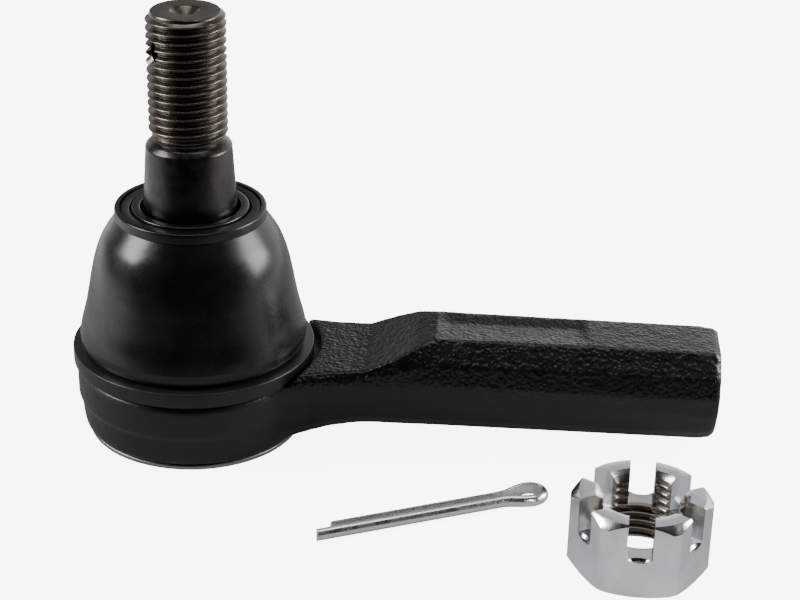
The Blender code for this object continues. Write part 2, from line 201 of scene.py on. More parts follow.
def turned(name, profile, columns=None, smooth_angle=35.0):
    """Closed (r, z) outline turned about the stud's axis."""
    columns = columns or FINE
    verts = []
    rows = []
    for r, z in profile:
        if r < 1e-9:
            verts.append((0.0, 0.0, z))
            rows.append([len(verts) - 1] * columns)
            continue
        row = []
        for j in range(columns):
            a = 2 * math.pi * j / columns
            verts.append((r * math.cos(a), r * math.sin(a), z))
            row.append(len(verts) - 1)
        rows.append(row)
    faces = []
    for i in range(len(rows)):
        lo = rows[i]
        hi = rows[(i + 1) % len(rows)]
        for j in range(columns):
            k = (j + 1) % columns
            corner = []
            for v in (lo[j], lo[k], hi[k], hi[j]):
                if v not in corner:
                    corner.append(v)
            if len(corner) > 2:
                faces.append(corner)
    return new_object(name, verts, faces, smooth_angle)


def lofted(name, sections):
    """Closed body through rings of 3-D points."""
    n = len(sections[0])
    verts = [p for ring in sections for p in ring]
    faces = [list(range(n)), [(len(sections) - 1) * n + j for j in range(n)]]
    for i in range(len(sections) - 1):
        for j in range(n):
            k = (j + 1) % n
            faces.append([i * n + j, i * n + k, (i + 1) * n + k, (i + 1) * n + j])
    return new_object(name, verts, faces)


def helix(z0, z1, root, crest, columns, ramp_low, ramp_high):
    """Verts and faces of a right-hand threaded surface between two plain rings."""
    per = len(THREAD_SHAPE)
    turns = int(math.ceil((z1 - z0) / PITCH)) + 2
    verts = []
    faces = []
    for i in range(turns * per + 1):
        phase, rise = THREAD_SHAPE[i % per]
        for j in range(columns + 1):
            z = min(max(z0 + PITCH * (i // per - 1 + phase + j / columns), z0), z1)
            ramp = min((z - z0) / ramp_low, (z1 - z) / ramp_high, 1.0)
            r = root + (crest - root) * rise * ramp
            a = 2 * math.pi * j / columns
            verts.append((r * math.cos(a), r * math.sin(a), z))
    for i in range(turns * per):
        for j in range(columns):
            a = i * (columns + 1) + j
            b = a + columns + 1
            faces.append([a, a + 1, b + 1, b])
    return verts, faces


def threaded_body(name, low, high, z0, z1, root, crest, columns, ramp_low, ramp_high):
    """Turned body whose profile runs low + thread + high."""
    verts, faces = helix(z0, z1, root, crest, columns, ramp_low, ramp_high)
    for profile in (low, high):
        rows = []
        for r, z in profile:
            row = []
            for j in range(columns):
                a = 2 * math.pi * j / columns
                verts.append((r * math.cos(a), r * math.sin(a), z))
                row.append(len(verts) - 1)
            rows.append(row)
        for lo, hi in zip(rows, rows[1:]):
            for j in range(columns):
                k = (j + 1) % columns
                faces.append([lo[j], lo[k], hi[k], hi[j]])
    key = {}
    index = []
    kept = []
    for v in verts:
        k = tuple(round(c * 1e8) for c in v)
        if k not in key:
            key[k] = len(kept)
            kept.append(v)
        index.append(key[k])
    good = []
    for f in faces:
        g = []
        for v in f:
            if index[v] not in g:
                g.append(index[v])
        if len(g) > 2:
            good.append(g)
    return new_object(name, kept, good, 40.0)


def apply_modifiers(ob):
    dg = bpy.context.evaluated_depsgraph_get()
    me = bpy.data.meshes.new_from_object(ob.evaluated_get(dg))
    ob.modifiers.clear()
    ob.data = me


def boolean(ob, other, operation):
    m = ob.modifiers.new("cut", "BOOLEAN")
    m.operation = operation
    m.solver = "MANIFOLD"
    m.object = other
    apply_modifiers(ob)
    bpy.data.objects.remove(other, do_unlink=True)


def place(ob, matrix):
    ob.data.transform(matrix)
    ob.data.update()


def finish_piece(ob, body, node, material):
    ob.data.materials.clear()
    ob.data.materials.append(material)
    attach(ob, body)
    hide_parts(node)


# ------------------------------------------------------------------ material helpers
class Nodes:
    """A material with a Principled BSDF and a few short ways to add nodes."""

    def __init__(self, name, colour, roughness, metallic=0.0, specular=0.5):
        self.mat = bpy.data.materials.new(name)
        self.mat.use_nodes = True
        self.tree = self.mat.node_tree
        self.bsdf = self.tree.nodes["Principled BSDF"]
        self.bsdf.inputs["Base Color"].default_value = (*colour, 1.0)
        self.bsdf.inputs["Roughness"].default_value = roughness
        self.bsdf.inputs["Metallic"].default_value = metallic
        self.bsdf.inputs["Specular IOR Level"].default_value = specular
        self.coord = self.tree.nodes.new("ShaderNodeTexCoord").outputs["Object"]

    def link(self, a, b):
        self.tree.links.new(a, b)

    def noise(self, scale, detail=4.0, roughness=0.55, stretch=None):
        n = self.tree.nodes.new("ShaderNodeTexNoise")
        n.inputs["Scale"].default_value = scale
        n.inputs["Detail"].default_value = detail
        n.inputs["Roughness"].default_value = roughness
        self.link(self.stretched(stretch), n.inputs["Vector"])
        return n.outputs["Fac"]

    def cells(self, scale):
        n = self.tree.nodes.new("ShaderNodeTexVoronoi")
        n.feature = "SMOOTH_F1"
        n.inputs["Scale"].default_value = scale
        self.link(self.coord, n.inputs["Vector"])
        return n.outputs["Distance"]

    def stretched(self, stretch):
        if stretch is None:
            return self.coord
        m = self.tree.nodes.new("ShaderNodeMapping")
        m.inputs["Scale"].default_value = stretch
        self.link(self.coord, m.inputs["Vector"])
        return m.outputs["Vector"]

    def facing_up(self):
        n = self.tree.nodes.new("ShaderNodeSeparateXYZ")
        g = self.tree.nodes.new("ShaderNodeNewGeometry")
        self.link(g.outputs["Normal"], n.inputs["Vector"])
        return n.outputs["Z"]

    def distance_from(self, point):
        """Level distance from an upright axis through the point."""
        shift = self.tree.nodes.new("ShaderNodeVectorMath")
        shift.operation = "SUBTRACT"
        shift.inputs[1].default_value = (point[0], point[1], 0.0)
        self.link(self.coord, shift.inputs[0])
        flat = self.tree.nodes.new("ShaderNodeVectorMath")
        flat.operation = "MULTIPLY"
        flat.inputs[1].default_value = (1.0, 1.0, 0.0)
        self.link(shift.outputs["Vector"], flat.inputs[0])
        size = self.tree.nodes.new("ShaderNodeVectorMath")
        size.operation = "LENGTH"
        self.link(flat.outputs["Vector"], size.inputs[0])
        return size.outputs["Value"]

    def axis(self, name):
        n = self.tree.nodes.new("ShaderNodeSeparateXYZ")
        self.link(self.coord, n.inputs["Vector"])
        return n.outputs[name]

    def remap(self, value, low, high, out_low=0.0, out_high=1.0):
        n = self.tree.nodes.new("ShaderNodeMapRange")
        n.interpolation_type = "SMOOTHSTEP"
        n.inputs["From Min"].default_value = low
        n.inputs["From Max"].default_value = high
        n.inputs["To Min"].default_value = out_low
        n.inputs["To Max"].default_value = out_high
        self.link(value, n.inputs["Value"])
        return n.outputs["Result"]

    def math(self, operation, a, b=None):
        n = self.tree.nodes.new("ShaderNodeMath")
        n.operation = operation
        for socket, value in zip(n.inputs, (a, b)):
            if value is None:
                continue
            if isinstance(value, (int, float)):
                socket.default_value = value
            else:
                self.link(value, socket)
        return n.outputs["Value"]

    def mix(self, factor, a, b):
        n = self.tree.nodes.new("ShaderNodeMix")
        n.data_type = "RGBA"
        self.link(factor, n.inputs["Factor"])
        for socket, value in ((n.inputs[6], a), (n.inputs[7], b)):
            if isinstance(value, tuple):
                socket.default_value = (*value, 1.0)
            else:
                self.link(value, socket)
        return n.outputs[2]

    def bump(self, height, strength, distance, normal=None):
        n = self.tree.nodes.new("ShaderNodeBump")
        n.inputs["Strength"].default_value = strength
        n.inputs["Distance"].default_value = distance
        self.link(height, n.inputs["Height"])
        if normal is not None:
            self.link(normal, n.inputs["Normal"])
        return n.outputs["Normal"]

    def set(self, name, value):
        self.link(value, self.bsdf.inputs[name])


def paint_material():
    """Black paint: pebbled over the rough forged upper half, satin elsewhere."""
    n = Nodes("cast_paint", (0.008, 0.008, 0.008), 0.36)
    above = n.remap(n.axis("Z"), PART_Z - 1.9 * MM, PART_Z - 0.2 * MM)
    beyond = n.remap(n.axis("X"), 7.0 * MM, 15.0 * MM)
    rough = n.math("MULTIPLY", above, beyond)
    upright = n.remap(n.facing_up(), 0.45, 0.85, 1.0, 0.0)
    level = n.remap(upright, 0.0, 1.0, 0.38, 0.50)
    dome = n.cells(1650.0)
    pebble = n.remap(dome, 0.0, 0.75, 1.0, 0.0)
    grain = n.math("ADD", pebble, n.math("MULTIPLY", n.noise(2300.0, 2.0, 0.5), 0.7))
    height = n.math("MULTIPLY", grain, n.math("MULTIPLY", rough, level))
    first = n.bump(height, 1.0, 0.22 * MM)
    satin = n.noise(2600.0, 2.0, 0.5)
    n.set("Normal", n.bump(satin, 0.35, 0.012 * MM, first))
    cloud = n.noise(90.0, 5.0)
    dusty = n.mix(n.remap(cloud, 0.35, 0.75), (0.006, 0.006, 0.006), (0.0105, 0.0100, 0.0095))
    # painted shade: on the rough forged zone, the upright sides get a darker base colour than the faces
    # that look up
    n.set("Base Color", n.mix(n.math("MULTIPLY", rough, upright), dusty, (0.0022, 0.0020, 0.0018)))
    plain = n.remap(n.noise(420.0, 4.0), 0.3, 0.7, 0.33, 0.42)
    n.set("Roughness", n.math("SUBTRACT", plain, n.math("MULTIPLY", rough, 0.05)))
    return n.mat


def collar_material():
    """The same paint over a turned surface."""
    n = Nodes("turned_paint", (0.009, 0.009, 0.009), 0.34)
    rings = n.noise(60.0, 3.0, 0.6, stretch=(0.02, 0.02, 60.0))
    first = n.bump(rings, 0.30, 0.015 * MM)
    n.set("Normal", n.bump(n.noise(2400.0, 2.0, 0.5), 0.35, 0.012 * MM, first))
    n.set("Roughness", n.remap(n.noise(420.0, 4.0), 0.3, 0.7, 0.30, 0.40))
    return n.mat


def rubber_material():
    n = Nodes("boot_rubber", (0.003, 0.003, 0.003), 0.27)
    skin = n.noise(520.0, 5.0, 0.6)
    n.set("Normal", n.bump(skin, 0.30, 0.022 * MM))
    bloom = n.noise(70.0, 5.0, 0.65)
    n.set("Base Color", n.mix(n.remap(bloom, 0.45, 0.8), (0.003, 0.003, 0.003), (0.007, 0.0065, 0.006)))
    n.set("Roughness", n.remap(n.noise(160.0, 5.0), 0.3, 0.7, 0.23, 0.33))
    return n.mat


def stud_material():
    """Dark phosphated steel: brown on the thread's flanks, grey on the taper."""
    n = Nodes("phosphated_steel", (0.06, 0.056, 0.05), 0.34, 1.0)
    thread = n.remap(n.axis("Z"), THREAD_LOW - 0.5 * MM, THREAD_LOW + 0.5 * MM)
    patch = n.noise(350.0, 5.0, 0.65)
    brown = n.mix(patch, (0.065, 0.056, 0.046), (0.18, 0.16, 0.135))
    grey = n.mix(patch, (0.040, 0.039, 0.037), (0.066, 0.064, 0.061))
    n.set("Base Color", n.mix(thread, grey, brown))
    lines = n.noise(40.0, 3.0, 0.6, stretch=(0.02, 0.02, 80.0))
    first = n.bump(lines, 0.4, 0.015 * MM)
    n.set("Normal", n.bump(n.noise(900.0, 4.0, 0.6), 0.35, 0.02 * MM, first))
    n.set("Roughness", n.remap(n.noise(500.0, 4.0), 0.3, 0.7, 0.23, 0.36))
    return n.mat


def zinc_material(name, colour, low, high, axis=None):
    """Bright zinc; near the axis given, over the tapped thread, the colour is darker."""
    n = Nodes(name, colour, low, 1.0)
    cloud = n.noise(220.0, 5.0, 0.6)
    tint = tuple(c * 0.86 for c in colour)
    plate = n.mix(n.remap(cloud, 0.3, 0.75), colour, tint)
    if axis is not None:
        near = n.remap(n.distance_from(axis), FEMALE_R + 0.05 * MM, FEMALE_R + 0.3 * MM, 1.0, 0.0)
        plate = n.mix(near, plate, (0.40, 0.37, 0.33))
    n.set("Base Color", plate)
    n.set("Roughness", n.remap(n.noise(480.0, 4.0), 0.3, 0.7, low, high))
    first = n.bump(n.noise(130.0, 2.0), 0.10, 0.03 * MM)
    n.set("Normal", n.bump(n.noise(2200.0, 2.0, 0.5), 0.10, 0.006 * MM, first))
    return n.mat


def plain_metal(name, colour, low, high):
    n = Nodes(name, colour, low, 1.0)
    n.set("Roughness", n.remap(n.noise(300.0, 4.0), 0.3, 0.7, low, high))
    n.set("Normal", n.bump(n.noise(60.0, 3.0, 0.6, stretch=(0.02, 0.02, 60.0)), 0.3, 0.02 * MM))
    return n.mat


def resin_material(name, colour):
    n = Nodes(name, colour, 0.45)
    n.set("Roughness", n.remap(n.noise(260.0, 4.0), 0.3, 0.7, 0.38, 0.52))
    n.set("Normal", n.bump(n.noise(500.0, 3.0), 0.2, 0.02 * MM))
    return n.mat


# ------------------------------------------------------------------ the pieces
# x, top z, half width of top, parting and bottom faces, bottom z, depth of the shallow trough
STATIONS = [
    (10.0, 15.6, 13.6, 15.6, 13.6, 1.7, 0.0),
    (13.9, 15.6, 13.2, 14.8, 12.6, 1.9, 0.0),
    (16.0, 15.7, 12.5, 14.1, 11.4, 2.0, 0.0),
    (19.0, 15.8, 11.7, 12.9, 9.4, 2.3, 0.0),
    (22.0, 15.95, 10.9, 12.0, 7.9, 2.7, 0.0),
    (25.5, 16.15, 10.25, 11.3, 6.7, 3.25, 0.0),
    (29.5, 16.3, 9.9, 10.8, 6.0, 3.7, 0.0),
    (32.0, 16.5, 9.75, 10.5, 5.7, 3.85, 0.0),
    (34.6, 17.6, 9.65, 10.4, 5.5, 3.8, 0.0),
    (37.6, 18.9, 9.2, 10.2, 5.4, 3.75, 0.0),
    (41.0, 20.55, 7.6, 10.0, 5.3, 3.7, 0.0),
    (44.4, 21.65, 5.7, 9.8, 5.2, 3.7, 0.0),
    (46.4, 21.6, 5.7, 9.7, 5.2, 3.7, 0.6),
    (70.0, 21.5, 5.5, 9.6, 5.2, 3.75, 0.6),
    (71.6, 21.5, 5.4, 9.6, 5.2, 3.75, 0.0),
    (92.0, 21.32, 5.4, 9.5, 5.2, 3.8, 0.0),
    (94.3, 21.1, 5.2, 9.4, 5.0, 4.0, 0.0),
    (95.3, 20.6, 4.8, 9.0, 4.4, 4.7, 0.0),
]


def shank_section(x, top, a, b, c, low, trough):
    """Ring of points round the shank, y and z in millimetres."""
    part = PART_Z / MM
    shoulder = (a + (b - a) * 0.80, top - 0.5 * (top - part))
    half = [shoulder, (b, part + 0.15), (b, part - 0.15), (b - 0.7, part - 3.6)]
    half += [(c + (b - c) * 0.42, low + 2.3), (c, low)]
    points = [(-a, top), (0.40 * a, top - trough), (0.80 * a, top - 0.15 * trough), (a, top)]
    points += half + [(-y, z) for y, z in reversed(half)]
    ring = []
    n = len(points)
    for i in range(n):
        p = Vector(points[i])
        q = Vector(points[(i + 1) % n])
        for s in range(4):
            y, z = p.lerp(q, s / 4)
            ring.append((x * MM, y * MM, z * MM))
    return ring


def smooth_mesh(ob, rounds, share):
    bm = bmesh.new()
    bm.from_mesh(ob.data)
    for _ in range(rounds):
        bmesh.ops.smooth_vert(bm, verts=bm.verts, factor=share, use_axis_x=True, use_axis_y=True,
                              use_axis_z=True)
    bm.to_mesh(ob.data)
    bm.free()


def roughen(ob):
    """Lumps of a forged surface over the upper half, outside the cup."""
    normals = [v.normal.copy() for v in ob.data.vertices]
    for v, normal in zip(ob.data.vertices, normals):
        x, y, z = v.co
        over = min(max((z - PART_Z + 1.4 * MM) / (1.0 * MM), 0.0), 1.0)
        out = min(max((math.hypot(x, y) - 21.2 * MM) / (1.5 * MM), 0.0), 1.0)
        lump = noise.noise(v.co * 620.0) + 0.7 * noise.noise(v.co * 1350.0 + Vector((7.0, 3.0, 1.0)))
        v.co += normal * (LUMP * lump * over * out)
    ob.data.update()


def make_housing():
    """The forging, softened as a forging is, then the turned collar and boss as a second piece on the same
    body.
    """
    top = 13.2 * MM
    forged = [(0.0, top), (0.0, CUP_LOW)] + mm([(19.75, 1.2), (20.3, 1.9), (20.55, 3.4), (20.8, 6.5)])
    forged += [(CUP_R, 7.4 * MM), (CUP_R, 12.2 * MM), (20.9 * MM, top)]
    body = turned("housing_body", forged, 96)
    shank = lofted("shank", [shank_section(*s) for s in STATIONS])
    relief = [(0.0, TALL), (0.0, COLLAR_LOW), (RELIEF_R, COLLAR_LOW), (RELIEF_R, TALL)]
    boolean(shank, turned("relief", relief, 96), "DIFFERENCE")
    boolean(body, shank, "UNION")
    # the skin is made at a thousand times the size, where the voxel grid is quick and exact
    place(body, Matrix.Scale(1 / MM, 4))
    m = body.modifiers.new("skin", "REMESH")
    m.mode = "VOXEL"
    m.voxel_size = VOXEL / MM * 1.0
    apply_modifiers(body)
    place(body, Matrix.Scale(MM, 4))
    smooth_mesh(body, 2, 0.5)
    roughen(body)
    # machined faces are cut after the skin, so their edges stay crisp
    flat = turned("flat", [(0.0, CUP_LOW), (0.0, -5 * MM), (30 * MM, -5 * MM), (30 * MM, CUP_LOW)], 8)
    boolean(body, flat, "DIFFERENCE")
    hollow = [(0.0, 0.0), (BORE_R, 0.0), (BORE_R, TALL), (0.0, TALL)]
    boolean(body, turned("hollow", hollow, FINE), "DIFFERENCE")
    sleeve = [(RELIEF_R, COLLAR_LOW), (RELIEF_R, TALL), (BORE_R - MM, TALL), (BORE_R - MM, GROOVE_LOW)]
    sleeve += [(GROOVE_R, GROOVE_LOW), (GROOVE_R, GROOVE_TOP), (COLLAR_R, COLLAR_LOW)]
    boolean(body, turned("sleeve", sleeve, FINE), "DIFFERENCE")
    collar = rounded([(MOUTH_R, MOUTH_Z), (BOSS_R, MOUTH_Z), (BOSS_R, COLLAR_TOP), (COLLAR_R, COLLAR_TOP),
                      (COLLAR_R, COLLAR_LOW), (20.72 * MM, GROOVE_TOP), (20.72 * MM, 12.3 * MM),
                      (BORE_R, 12.3 * MM), (BORE_R, 18.0 * MM), (MOUTH_R, 21.2 * MM)], 0.22 * MM, 3)
    cut_shank_thread(body)
    clean(body, 2e-6)
    shade(body, 38.0)
    body.name = "housing_forged"
    finish_piece(body, "socket", "housing", paint_material())
    band = turned("housing_collar", collar, FINE)
    finish_piece(band, "socket", "housing", collar_material())


def cut_shank_thread(body):
    """Right-hand internal thread with a lead-in chamfer, cut into the shank's end."""
    columns = 64
    end = SHANK_BORE_DEPTH
    low = [(0.0, 0.0), (FEMALE_ROOT_R, 3.0 * MM), (FEMALE_ROOT_R, 6.0 * MM)]
    high = [(FEMALE_ROOT_R, end - 0.4 * MM), (FEMALE_R + 1.2 * MM, end + 1.2 * MM)]
    high += [(FEMALE_R + 1.2 * MM, end + 3.0 * MM), (0.0, end + 3.0 * MM)]
    cutter = threaded_body("tap", low, high, 6.0 * MM, end - 0.4 * MM, FEMALE_ROOT_R, FEMALE_R, columns,
                           PITCH, 0.3 * MM)
    turn = Matrix(((0, 0, 1, 0), (0, 1, 0, 0), (-1, 0, 0, 0), (0, 0, 0, 1)))
    place(cutter, Matrix.Translation((SHANK_END - end, 0.0, SHANK_BORE_Z)) @ turn)
    boolean(body, cutter, "DIFFERENCE")


def make_stud():
    flat_drop = BALL.z - STUD_LOW.z
    low = [(0.0, STUD_LOW.z), (math.sqrt(BALL_R ** 2 - flat_drop ** 2), STUD_LOW.z)]
    a0 = math.asin(-flat_drop / BALL_R)
    a1 = math.acos(NECK_R / BALL_R)
    for i in range(1, 33):
        a = a0 + (a1 - a0) * i / 32
        low.append((BALL_R * math.cos(a), BALL.z + BALL_R * math.sin(a)))
    low += curve(mm([(5.6, 26.2), (5.7, 27.8), (6.15, 30.6), (6.95, 33.8), (7.85, 36.8), (8.42, 39.2),
                     (8.5, 40.5)]), 4)
    taper = rounded(mm([(8.5, 40.6), (7.6, 54.6), (6.75, 55.45), (6.35, 55.7)]), 0.25 * MM, 3, closed=False)
    low += taper + [(MALE_ROOT_R, 55.9 * MM), (MALE_ROOT_R, THREAD_LOW)]
    z1 = STUD_TOP - 0.12 * MM
    high = [(MALE_ROOT_R, z1), (5.96 * MM, STUD_TOP)]
    high += rounded([(5.8 * MM, STUD_TOP), (2.6 * MM, STUD_TOP), (0.9 * MM, STUD_TOP - 1.3 * MM)],
                    0.15 * MM, 3, closed=False)
    high += [(0.0, STUD_TOP - 1.7 * MM)]
    columns = 96
    stud = threaded_body("ball_stud_steel", low, high, THREAD_LOW, z1, MALE_ROOT_R, MALE_R, columns,
                         0.7 * PITCH, 0.75 * MM)
    wide = PIN_HOLE_R + 2 * MM
    hole = [(0.0, -12 * MM), (wide, -12 * MM), (wide, -7.7 * MM), (PIN_HOLE_R, -5.7 * MM)]
    hole += [(PIN_HOLE_R, 5.7 * MM), (wide, 7.7 * MM), (wide, 12 * MM), (0.0, 12 * MM)]
    cutter = turned("cross_drill", hole, 40)
    lay = Matrix.Rotation(math.pi / 2, 4, "Y")
    place(cutter, Matrix.Translation((0, 0, PIN_HOLE_Z)) @ Matrix.Rotation(PIN_HOLE_AZIMUTH, 4, "Z") @ lay)
    boolean(stud, cutter, "DIFFERENCE")
    clean(stud, 1e-6)
    shade(stud, 40.0)
    finish_piece(stud, "stud", "ball_stud", stud_material())


BOOT_OUTER = [(13.35, 41.2), (14.5, 39.6), (15.9, 37.4), (17.1, 34.4), (17.95, 31.0), (18.6, 27.6),
              (19.3, 24.2), (20.1, 21.2), (20.5, 19.2)]
BOOT_INNER = [(17.0, 20.9), (17.4, 23.6), (16.9, 27.2), (16.3, 30.8), (15.4, 34.0), (14.0, 36.8),
              (12.2, 38.9), (10.2, 39.9)]


def at_height(points, z):
    """Radius at height z of an (r, z) run that passes that height."""
    for (r0, z0), (r1, z1) in zip(points, points[1:]):
        if min(z0, z1) <= z <= max(z0, z1):
            return r0 + (r1 - r0) * (z - z0) / (z1 - z0)


def make_boot():
    """Two halves that meet at a level ring."""
    seam = BOOT_SEAM_Z
    outer = curve(mm(BOOT_OUTER), 8)
    inner = curve(mm(BOOT_INNER), 6)
    r_out = at_height(outer, seam)
    r_in = at_height(inner, seam)
    near = 0.15 * MM
    outer_high = [p for p in outer if p[1] > seam + near]
    outer_low = [p for p in outer if p[1] < seam - near]
    inner_high = [p for p in inner if p[1] > seam + near]
    inner_low = [p for p in inner if p[1] < seam - near]
    lip = rounded(mm([(12.55, 43.1), (13.5, 43.1), (13.5, 41.3)]), 0.42 * MM, 5, closed=False)
    channel = rounded(mm([(10.2, 39.9), (8.85, 40.3), (8.85, 43.1), (10.45, 43.1), (10.45, 41.4),
                          (12.45, 41.4), (12.55, 43.1)]), 0.36 * MM, 5, closed=False)
    upper = lip + outer_high + [(r_out, seam), (r_in, seam)] + inner_high[:-1] + channel[:-1]
    foot = rounded(mm([(20.5, 19.2), (20.35, 17.3), (19.9, 16.8), (16.85, 16.8), (17.0, 20.9)]),
                   0.3 * MM, 4, closed=False)
    lower = [(r_out, seam)] + outer_low[:-1] + foot + inner_low[1:] + [(r_in, seam)]
    rubber = rubber_material()
    for name, outline, a, b, low, high in (
            ("boot_upper", upper, "boot", "boot_top", seam, BOOT_HEAD_Z),
            ("boot_lower", lower, "socket", "boot", BOOT_FOOT_Z, seam)):
        ob = turned(name, outline, FINE, 50.0)
        mark_seam(ob, seam)
        ob.data.materials.append(rubber)
        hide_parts("dust_boot")
        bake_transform(ob)


def mark_seam(ob, seam):
    """Keep the ring where the halves meet out of the smooth shading."""
    bm = bmesh.new()
    bm.from_mesh(ob.data)
    for e in bm.edges:
        if all(abs(v.co.z - seam) < 1e-6 for v in e.verts):
            e.smooth = False
    bm.to_mesh(ob.data)
    bm.free()


def make_rings_and_cap():
    lip = rounded(mm([(10.75, 41.7), (12.35, 41.7), (12.35, 42.85), (10.75, 42.75)]), 0.28 * MM, 4)
    ring = turned("boot_ring_top", lip, FINE)
    finish_piece(ring, "boot_top", "boot_top_ring",
                 plain_metal("dark_ring_steel", (0.05, 0.05, 0.05), 0.30, 0.42))
    cap = rounded(mm([(9.2, 0.0), (9.8, 0.45), (11.6, 0.45), (12.2, 0.0), (19.55, 0.0), (19.55, 0.9),
                      (13.0, 0.9), (13.0, 2.1), (12.6, 2.4), (4.5, 2.4), (4.0, 2.0)]),
                  0.28 * MM, 3, closed=False)
    cap = turned("cap_pressed", [(0.0, 0.0)] + cap + [(0.0, 2.0 * MM)], FINE)
    finish_piece(cap, "socket", "end_cap",
                 plain_metal("bare_cap_steel", (0.36, 0.36, 0.35), 0.34, 0.48))
    foot = rounded(mm([(15.9, 16.8), (16.55, 16.8), (16.55, 20.6), (16.25, 20.9), (15.9, 20.6)]),
                   0.1 * MM, 2)
    foot_ring = turned("boot_ring_foot", foot, FINE)
    finish_piece(foot_ring, "socket", "boot_foot_press_ring",
                 plain_metal("foot_ring_steel", (0.34, 0.34, 0.33), 0.34, 0.48))


def make_nut():
    height = NUT_HIGH.z - NUT_LOW.z
    corner = NUT_AF / math.sqrt(3)
    rings = []
    for z in (0.0, height):
        rings.append([(corner * math.cos(math.radians(60 * k)), corner * math.sin(math.radians(60 * k)), z)
                      for k in range(6)])
    nut = lofted("nut_zinc", rings)
    reach = NUT_AC / 2 - NUT_FLAT_R
    cone = [(0.0, 0.0), (NUT_FLAT_R, 0.0), (NUT_AC / 2, reach * 0.45), (NUT_AC / 2, height - reach),
            (NUT_FLAT_R, height), (0.0, height)]
    boolean(nut, turned("cone", cone, 96), "INTERSECT")
    wide = FEMALE_R + 0.8 * MM
    bore = [(0.0, -MM), (wide, -MM), (wide, 0.0), (FEMALE_ROOT_R, 1.3 * MM)]
    bore += [(FEMALE_ROOT_R, height - 1.7 * MM), (wide, height), (wide, height + MM), (0.0, height + MM)]
    boolean(nut, turned("bore", bore, 96), "DIFFERENCE")
    floor = height - SLOT_DEPTH
    for k in range(3):
        y = SLOT_W / 2
        open_z = height + 3 * MM
        section = rounded([(-y, open_z), (-y, floor), (y, floor), (y, open_z)], 0.2 * MM, 3)
        rings = [[(x, p, z) for p, z in section] for x in (-16 * MM, 16 * MM)]
        slot = lofted("slot", rings)
        place(slot, Matrix.Rotation(math.radians(30 + 60 * k), 4, "Z"))
        boolean(nut, slot, "DIFFERENCE")
    for k in range(6):
        # small scoop where each slot's floor breaks out of the face
        half = SLOT_W / 2
        ball = [(0.0, -half), (0.7 * half, -0.7 * half), (half, 0.0), (0.7 * half, 0.7 * half), (0.0, half)]
        scoop = turned("scoop", ball, 32)
        move = Matrix.Translation((NUT_AF / 2 + 0.2 * MM, 0, floor - 0.1 * MM))
        turn = Matrix.Rotation(math.radians(30 + 60 * k), 4, "Z")
        place(scoop, turn @ move @ Matrix.Diagonal((0.5, 0.9, 0.3, 1.0)))
        boolean(nut, scoop, "DIFFERENCE")
    clean(nut, 4e-6)
    m = nut.modifiers.new("ease", "BEVEL")
    m.width = 0.14 * MM
    m.segments = 2
    m.limit_method = "ANGLE"
    m.angle_limit = math.radians(28)
    m.use_clamp_overlap = True
    m.miter_outer = "MITER_ARC"
    apply_modifiers(nut)
    low = [(0.0, -2.5 * MM), (FEMALE_ROOT_R - 0.02 * MM, -2.5 * MM), (FEMALE_ROOT_R - 0.02 * MM, -2.2 * MM)]
    high = [(FEMALE_ROOT_R - 0.02 * MM, height + 2.2 * MM), (FEMALE_ROOT_R - 0.02 * MM, height + 2.5 * MM),
            (0.0, height + 2.5 * MM)]
    tap = threaded_body("tap", low, high, -2.2 * MM, height + 2.2 * MM, FEMALE_ROOT_R - 0.02 * MM, FEMALE_R,
                        72, 0.5 * PITCH, 0.5 * PITCH)
    boolean(nut, tap, "DIFFERENCE")
    clean(nut, 1e-6)
    shade(nut, 15.0)
    centre = (NUT_LOW + NUT_HIGH) / 2
    place(nut, Matrix.Translation((centre.x, centre.y, NUT_LOW.z)) @ Matrix.Rotation(NUT_YAW, 4, "Z"))
    finish_piece(nut, "loose_nut", "castle_nut",
                 zinc_material("bright_zinc_nut", (0.90, 0.92, 0.94), 0.15, 0.24, centre))


def make_pin():
    """Half-round wire folded with the flats inside, its legs a little apart, with an open eye."""
    side = PIN_SPLIT / 2
    start = PIN_EYE_END - 8.4 * MM
    # half outline of the eye, millimetres back from its far end
    eye = [(-8.4, side / MM), (-7.2, 0.62), (-6.0, 0.88), (-4.7, 1.34), (-3.4, 1.74), (-2.1, 1.90),
           (-1.0, 1.60), (-0.28, 0.90), (0.0, 0.0)]
    eye = curve([(PIN_EYE_END + x * MM, y * MM) for x, y in eye], 6)
    path = [(start * k / 8, -side) for k in range(8)] + [(x, -y) for x, y in eye]
    path += list(reversed(eye[:-1])) + [(start * k / 8, side) for k in range(7, 0, -1)]
    path += [(PIN_SHORTER, side)]
    section = []
    for k in range(19):
        g = math.pi * k / 18
        section.append((PIN_R * math.sin(g), PIN_R - PIN_R * math.cos(g)))
    section = rounded(section, 0.16 * MM, 3)
    rings = []
    for i, (x, y) in enumerate(path):
        before = path[max(i - 1, 0)]
        after = path[min(i + 1, len(path) - 1)]
        d = math.hypot(after[0] - before[0], after[1] - before[1])
        nx = (after[1] - before[1]) / d
        ny = -(after[0] - before[0]) / d
        rings.append([(x + nx * off, y + ny * off, z) for off, z in section])
    pin = lofted("pin_zinc", rings)
    shade(pin, 50.0)
    lay = Matrix.Rotation(PIN_YAW, 4, "Z")
    place(pin, lay)
    lo = Vector([min(v.co[i] for v in pin.data.vertices) for i in range(3)])
    place(pin, Matrix.Translation((PIN_LOW.x - lo.x, PIN_LOW.y - lo.y, PIN_LOW.z - lo.z)))
    finish_piece(pin, "loose_pin", "cotter_pin",
                 zinc_material("bright_zinc_pin", (0.90, 0.91, 0.92), 0.20, 0.32))


